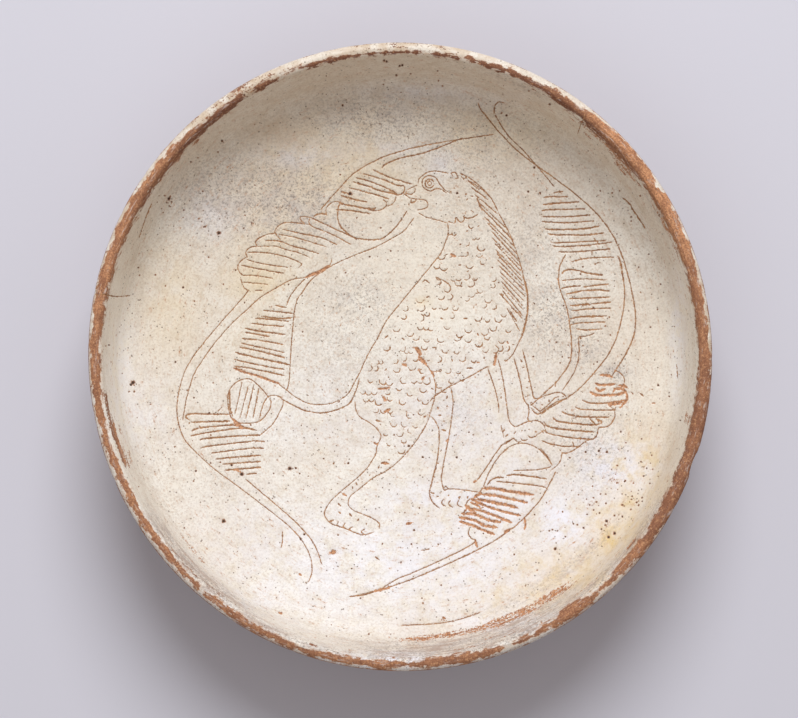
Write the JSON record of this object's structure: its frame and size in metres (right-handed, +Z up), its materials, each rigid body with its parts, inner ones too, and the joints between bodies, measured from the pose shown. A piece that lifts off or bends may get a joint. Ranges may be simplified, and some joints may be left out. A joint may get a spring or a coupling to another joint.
{
  "type": "slipware bowl",
  "caption": "Shallow footed earthenware bowl with a steep wall, cream slip over red clay, and a spotted beast among leafy stems cut through the slip.",
  "frame": {"origin": "on the pot's turning axis, in the plane that the foot ring stands on", "axes": "+Z up along the turning axis, +Y towards the top of the drawn scene, +X to the drawing's right, where the beast's forelegs are"},
  "size_m": [0.2484, 0.2516, 0.0626],
  "materials": {
    "slipped_clay": "cream slip over red-brown clay, thin worn clear glaze, cut lines and worn lip bare"
  },
  "bodies": {
    "root": {"bowl": "slipped_clay"}
  },
  "joints": []
}
